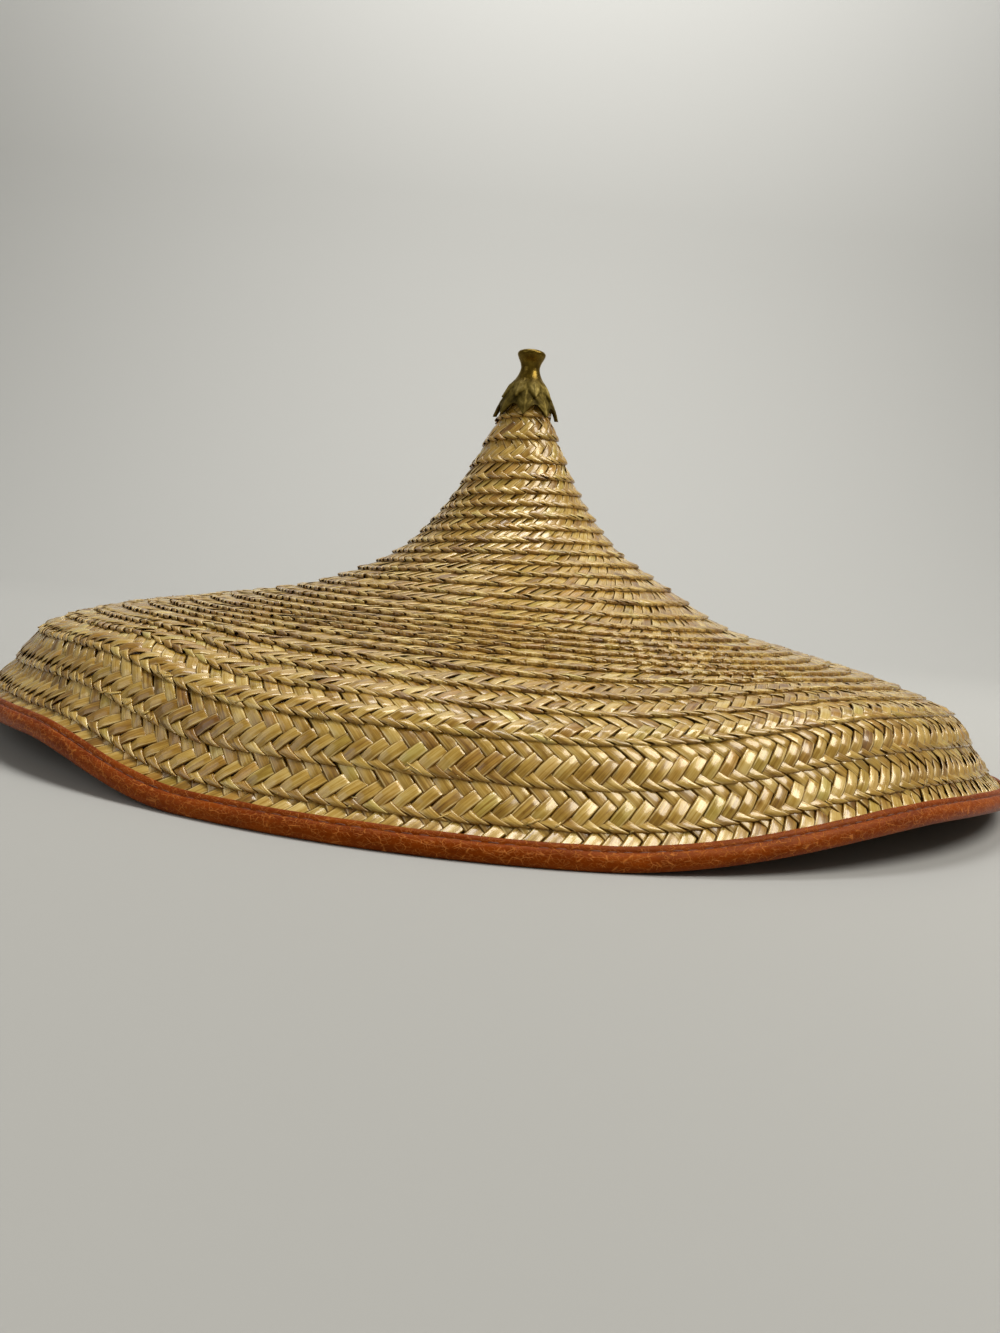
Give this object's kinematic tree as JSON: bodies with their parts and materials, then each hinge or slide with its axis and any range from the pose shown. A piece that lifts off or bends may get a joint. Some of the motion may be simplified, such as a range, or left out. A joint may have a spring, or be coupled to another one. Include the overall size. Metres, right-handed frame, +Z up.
{
  "type": "conical straw hat",
  "caption": "Wide conical hat of spiral-sewn straw plait with a steep peak, a leather-bound curling rim and a small cast brass finial.",
  "frame": {"origin": "centre of the rim, on the surface that the hat rests on", "axes": "+Z up through the peak, -Y towards the front, +X to the wearer's left"},
  "size_m": [0.4202, 0.4202, 0.1687],
  "materials": {
    "straw": "plaited wheat straw with a soft natural gloss",
    "leather": "smooth reddish tan leather with fine creases",
    "brass": "cast, aged and dark in the hollows, worn bright on the edges"
  },
  "bodies": {
    "root": {"straw_body": "straw", "brim_binding": "leather", "finial_cap": "brass"}
  },
  "joints": []
}
